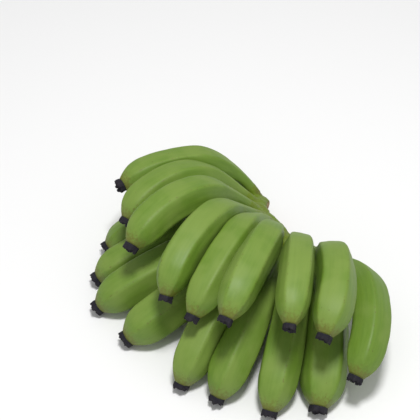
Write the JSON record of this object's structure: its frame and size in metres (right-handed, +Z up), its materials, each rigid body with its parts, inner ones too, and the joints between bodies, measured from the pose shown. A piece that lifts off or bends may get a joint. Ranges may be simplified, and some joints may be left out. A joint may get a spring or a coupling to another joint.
{
  "type": "hand of green bananas",
  "caption": "Hand of unripe green bananas lying down: curved, softly ridged fingers in rows on one crown, each ending in a dried black flower remnant.",
  "frame": {"origin": "middle of the bounding box's bottom, on the surface that the hand lies on", "axes": "+Z up from that surface; -Y towards the flower ends of the middle fingers; +X towards the far end of the crown's open side"},
  "size_m": [0.268, 0.2688, 0.1187],
  "materials": {
    "peel": "satin green banana peel with a pale bloom, freckles and a yellower tone near the flower end",
    "crown": "matt yellow-green crown tissue, browned along its cut edge",
    "dried_flower": "dry, rough, nearly black flower remnant"
  },
  "bodies": {
    "root": {"crown": "crown", "upper_finger_1": "peel", "upper_finger_2": "peel", "upper_finger_3": "peel", "upper_finger_4": "peel", "upper_finger_5": "peel", "upper_finger_6": "peel", "upper_finger_7": "peel", "upper_finger_8": "peel", "upper_finger_9": "peel", "lower_finger_1": "peel", "lower_finger_2": "peel", "lower_finger_3": "peel", "lower_finger_4": "peel", "lower_finger_5": "peel", "lower_finger_6": "peel", "lower_finger_7": "peel", "lower_finger_8": "peel", "upper_flower_end_1": "dried_flower", "upper_flower_end_2": "dried_flower", "upper_flower_end_3": "dried_flower", "upper_flower_end_4": "dried_flower", "upper_flower_end_5": "dried_flower", "upper_flower_end_6": "dried_flower", "upper_flower_end_7": "dried_flower", "upper_flower_end_8": "dried_flower", "upper_flower_end_9": "dried_flower", "lower_flower_end_1": "dried_flower", "lower_flower_end_2": "dried_flower", "lower_flower_end_3": "dried_flower", "lower_flower_end_4": "dried_flower", "lower_flower_end_5": "dried_flower", "lower_flower_end_6": "dried_flower", "lower_flower_end_7": "dried_flower", "lower_flower_end_8": "dried_flower"}
  },
  "joints": []
}
